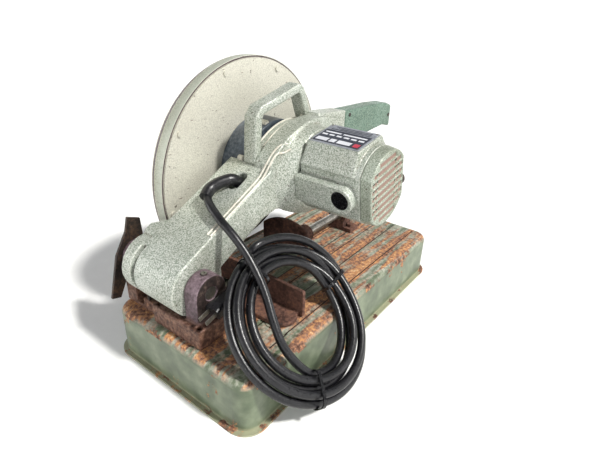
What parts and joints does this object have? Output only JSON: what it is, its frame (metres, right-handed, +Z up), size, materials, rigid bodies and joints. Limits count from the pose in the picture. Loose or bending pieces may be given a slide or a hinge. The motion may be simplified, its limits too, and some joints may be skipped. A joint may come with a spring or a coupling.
{
  "type": "abrasive cut-off saw",
  "caption": "Old bench cut-off saw: green head with abrasive wheel, guard and side motor on a hinged arm over a rusty pressed-steel base with vise and coiled cord.",
  "frame": {"origin": "centre of the base's footprint, on the bench", "axes": "+Z up, the operator stands at -Y, the wheel and guard are on the +X side, the motor points to -X"},
  "size_m": [0.3638, 0.755, 0.4195],
  "materials": {
    "base_paint": "thin green enamel over pressed steel, chipped and rusting",
    "green_hammertone": "silver-green hammertone enamel, worn along its edges",
    "dark_enamel": "dark blue-grey enamel, satin",
    "rusty_iron": "bare cast iron, brown with rust",
    "steel": "plain turned steel, dulled",
    "dark_steel": "blackened steel, lightly rusted",
    "bronze": "plain bronze and copper",
    "carbon": "pressed carbon, matt",
    "black_plastic": "black moulded plastic",
    "cord_rubber": "black rubber, half gloss",
    "plate_foil": "silver foil plate with black, white and red fields, no lettering",
    "abrasive": "resin-bonded abrasive disc, rough"
  },
  "bodies": {
    "base": {"base_pan": "base_paint", "pivot_bracket": "rusty_iron", "pivot_grub_screws": "steel", "pivot_shaft": "steel", "shaft_nut": "steel", "base_bolts": "dark_steel", "fence": "rusty_iron", "vise_nut_block": "rusty_iron", "vise_nut": "steel", "depth_stop": "dark_steel", "arm_spring": "dark_steel", "cord_cross": "cord_rubber", "cord_tail": "cord_rubber", "cord_coil": "cord_rubber", "cord_ties": "black_plastic", "plug_body": "cord_rubber", "plug_blades": "steel"},
    "arm": {"arm_casting": "green_hammertone", "arm_bushes": "bronze", "gear_cover": "dark_enamel", "carry_handle": "green_hammertone", "motor_housing": "green_hammertone", "end_cover": "green_hammertone", "end_cover_screws": "dark_steel", "nameplate": "plate_foil", "nameplate_rivets": "steel", "brush_holders": "bronze", "carbon_brushes": "carbon", "brush_caps": "black_plastic", "stator": "steel", "field_coils": "bronze", "ball_bearings": "steel", "guard_plate": "green_hammertone", "case_screws": "dark_steel", "guard_shell": "green_hammertone", "grip_right": "green_hammertone", "grip_left": "green_hammertone", "grip_screws": "dark_steel", "switch_body": "black_plastic", "trigger_pin": "steel", "cord_guard": "cord_rubber", "cord_lead": "cord_rubber"},
    "armature": {"armature": "steel", "commutator": "bronze", "cooling_fan": "black_plastic", "motor_shaft": "steel"},
    "spindle": {"spindle": "steel", "drive_gear": "dark_steel", "inner_flange": "steel", "cutting_wheel": "abrasive", "outer_flange": "steel", "wheel_bolt": "dark_steel"},
    "trigger": {"trigger": "black_plastic"},
    "lock_button": {"lock_button": "black_plastic"},
    "lock_strap": {"lock_strap": "dark_steel"},
    "vise_jaw": {"vise_jaw": "rusty_iron"},
    "vise_screw": {"vise_screw": "steel", "vise_crank": "dark_steel", "crank_knob": "black_plastic"}
  },
  "joints": [
    {"name": "arm_pivot", "type": "hinge", "parent": "base", "child": "arm", "pos_m": [0, 0.219, 0.15], "axis": [-1, 0, 0], "range_deg": [0, 28]},
    {"name": "spindle_spin", "type": "hinge", "parent": "arm", "child": "spindle", "pos_m": [0, -0.004, 0.231], "axis": [1, 0, 0], "continuous": true},
    {"name": "motor_spin", "type": "hinge", "parent": "arm", "child": "armature", "pos_m": [0, -0.0295, 0.2556], "axis": [1, 0, 0], "continuous": true},
    {"name": "trigger_pull", "type": "hinge", "parent": "arm", "child": "trigger", "pos_m": [0.021, -0.164, 0.277], "axis": [-1, 0, 0], "range_deg": [0, 7], "stiffness_Nm_per_rad": 1.5},
    {"name": "button_press", "type": "slide", "parent": "arm", "child": "lock_button", "axis": [-1, 0, 0], "range_m": [0, 0.003], "stiffness_N_per_m": 800},
    {"name": "strap_swing", "type": "hinge", "parent": "base", "child": "lock_strap", "pos_m": [0.136, 0.219, 0.15], "axis": [-1, 0, 0], "range_deg": [0, 12]},
    {"name": "vise_slide", "type": "slide", "parent": "base", "child": "vise_jaw", "axis": [0, 1, 0], "range_m": [-0.06, 0.13]},
    {"name": "vise_turn", "type": "hinge", "parent": "vise_jaw", "child": "vise_screw", "pos_m": [0.02, 0, 0.112], "axis": [0, 1, 0], "continuous": true}
  ],
  "couplings": [
    {"joint": "motor_spin", "follows": "spindle_spin", "ratio": -3.7778},
    {"joint": "vise_turn", "follows": "vise_slide", "rad_per_m": 1570.8}
  ]
}
